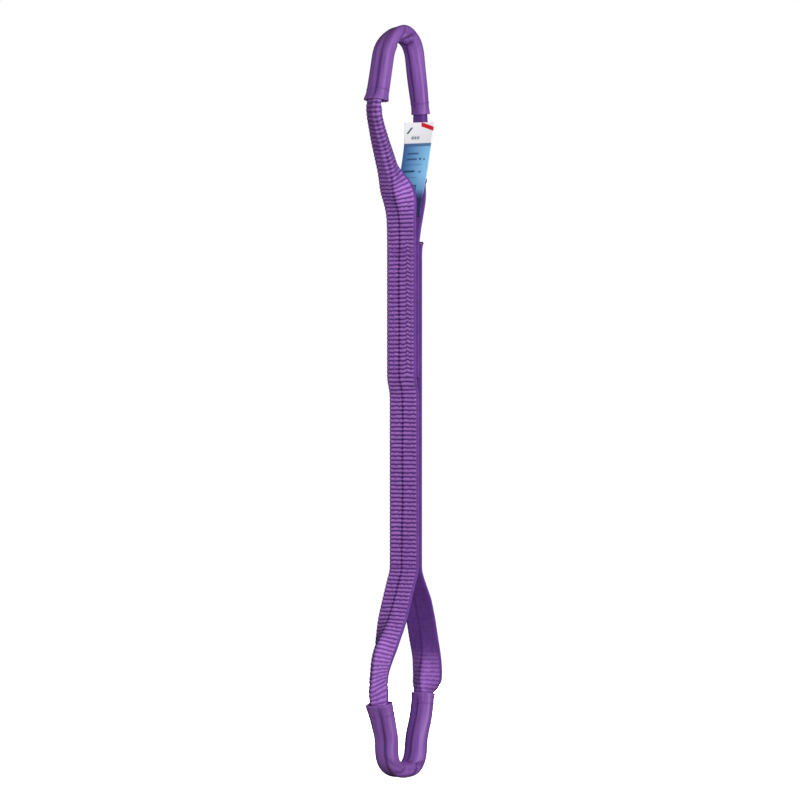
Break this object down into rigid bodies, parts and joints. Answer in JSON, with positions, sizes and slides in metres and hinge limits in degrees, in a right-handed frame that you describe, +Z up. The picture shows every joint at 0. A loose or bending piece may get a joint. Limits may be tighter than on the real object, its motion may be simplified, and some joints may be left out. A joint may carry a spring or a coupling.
{
  "type": "flat web lifting sling",
  "caption": "Short duplex flat webbing lifting sling of violet webbing, with a sewn three-ply lap, a sleeved soft eye at each end and a sewn-in label.",
  "frame": {"origin": "centre of the upper eye's round bearing seat, from which the sling hangs", "axes": "+Z up the sling towards the upper eye, +Y across the webbing, +X through the plies from the front leg to the back leg"},
  "size_m": [0.0689, 0.03, 0.6034],
  "materials": {
    "webbing": "woven, ribbed across, satin",
    "sleeve": "close-woven smooth sleeve cloth, slight sheen",
    "label": "coated label cloth, printed, semi-gloss",
    "thread": "sewing thread, matt"
  },
  "bodies": {
    "crown_top": {"web_crown_top": "webbing", "sleeve_top_crown": "sleeve"},
    "bight_top_left": {"web_bight_top_left": "webbing", "sleeve_top_left": "sleeve", "hem_stitch_top_left": "thread"},
    "bight_top_right": {"web_bight_top_right": "webbing", "sleeve_top_right": "sleeve", "hem_stitch_top_right": "thread"},
    "leg_top_left": {"web_leg_top_left": "webbing"},
    "leg_top_right": {"web_leg_top_right": "webbing", "label_stitch": "thread"},
    "label": {"label": "label"},
    "lap": {"ply_front_lap": "webbing", "ply_middle_lap": "webbing", "ply_back_lap": "webbing", "label_tail": "label", "stitch_lap": "thread", "stitch_throat_top": "thread"},
    "body_a": {"ply_front_a": "webbing", "ply_back_a": "webbing"},
    "body_b": {"ply_front_b": "webbing", "ply_back_b": "webbing"},
    "body_c": {"ply_front_c": "webbing", "ply_back_c": "webbing"},
    "throat_low": {"ply_front_throat": "webbing", "ply_back_throat": "webbing", "stitch_throat_low": "thread"},
    "leg_low_left": {"web_leg_low_left": "webbing"},
    "bight_low_left": {"web_bight_low_left": "webbing", "sleeve_low_left": "sleeve", "hem_stitch_low_left": "thread"},
    "crown_low": {"web_crown_low": "webbing", "sleeve_low_crown": "sleeve"},
    "bight_low_right": {"web_bight_low_right": "webbing", "sleeve_low_right": "sleeve", "hem_stitch_low_right": "thread"},
    "leg_low_right": {"web_leg_low_right": "webbing"}
  },
  "joints": [
    {"name": "top_eye_open", "type": "hinge", "parent": "crown_top", "child": "bight_top_left", "pos_m": [-0.0181, 0, 0], "axis": [0, 1, 0], "range_deg": [-8, 16]},
    {"name": "top_left_knee", "type": "hinge", "parent": "bight_top_left", "child": "leg_top_left", "pos_m": [-0.028, 0, -0.045], "axis": [0, 1, 0], "range_deg": [-22.45, 11.25]},
    {"name": "top_throat", "type": "hinge", "parent": "leg_top_left", "child": "lap", "pos_m": [0.0005, 0, -0.117], "axis": [0, 1, 0], "range_deg": [-4.05, 8.05]},
    {"name": "top_right_shoulder", "type": "hinge", "parent": "crown_top", "child": "bight_top_right", "pos_m": [0.0181, 0, 0], "axis": [0, 1, 0], "range_deg": [-14.11, 7.08]},
    {"name": "top_right_knee", "type": "hinge", "parent": "bight_top_right", "child": "leg_top_right", "pos_m": [0.0265, 0, -0.047], "axis": [0, 1, 0], "range_deg": [-13.58, 27.11]},
    {"name": "label_flap", "type": "hinge", "parent": "leg_top_right", "child": "label", "pos_m": [0.0118, 0, -0.113], "axis": [0, -1, 0], "range_deg": [0, 25]},
    {"name": "body_bend_upper", "type": "hinge", "parent": "lap", "child": "body_a", "pos_m": [0.0088, 0, -0.2775], "axis": [0, 1, 0], "range_deg": [-35, 35]},
    {"name": "body_twist", "type": "hinge", "parent": "body_a", "child": "body_b", "pos_m": [0.0088, 0, -0.3245], "axis": [0, 0, 1], "range_deg": [-45, 45]},
    {"name": "body_bend_middle", "type": "hinge", "parent": "body_b", "child": "body_c", "pos_m": [0.0088, 0, -0.3715], "axis": [0, 1, 0], "range_deg": [-35, 35]},
    {"name": "body_bend_lower", "type": "hinge", "parent": "body_c", "child": "throat_low", "pos_m": [0.0088, 0, -0.408], "axis": [0, 1, 0], "range_deg": [-35, 35]},
    {"name": "low_eye_open", "type": "hinge", "parent": "throat_low", "child": "leg_low_left", "pos_m": [-0.0005, 0, -0.434], "axis": [0, 1, 0], "range_deg": [-8, 14]},
    {"name": "low_left_knee", "type": "hinge", "parent": "leg_low_left", "child": "bight_low_left", "pos_m": [-0.0245, 0, -0.508], "axis": [0, 1, 0], "range_deg": [-22.45, 12.85]},
    {"name": "low_left_shoulder", "type": "hinge", "parent": "bight_low_left", "child": "crown_low", "pos_m": [-0.0151, 0, -0.556], "axis": [0, 1, 0], "range_deg": [-7.25, 12.65]},
    {"name": "low_right_shoulder", "type": "hinge", "parent": "crown_low", "child": "bight_low_right", "pos_m": [0.0211, 0, -0.556], "axis": [0, 1, 0], "range_deg": [-7.89, 13.76]},
    {"name": "low_right_knee", "type": "hinge", "parent": "bight_low_right", "child": "leg_low_right", "pos_m": [0.032, 0, -0.502], "axis": [0, 1, 0], "range_deg": [-22.85, 13.08]}
  ],
  "couplings": [
    {"joint": "top_left_knee", "follows": "top_eye_open", "ratio": -1.4},
    {"joint": "top_throat", "follows": "top_eye_open", "ratio": 0.5},
    {"joint": "top_right_shoulder", "follows": "top_eye_open", "ratio": -0.8785},
    {"joint": "top_right_knee", "follows": "top_eye_open", "ratio": 1.6915},
    {"joint": "low_left_knee", "follows": "low_eye_open", "ratio": -1.6},
    {"joint": "low_left_shoulder", "follows": "low_eye_open", "ratio": 0.9},
    {"joint": "low_right_shoulder", "follows": "low_eye_open", "ratio": 0.9795},
    {"joint": "low_right_knee", "follows": "low_eye_open", "ratio": -1.6283}
  ]
}
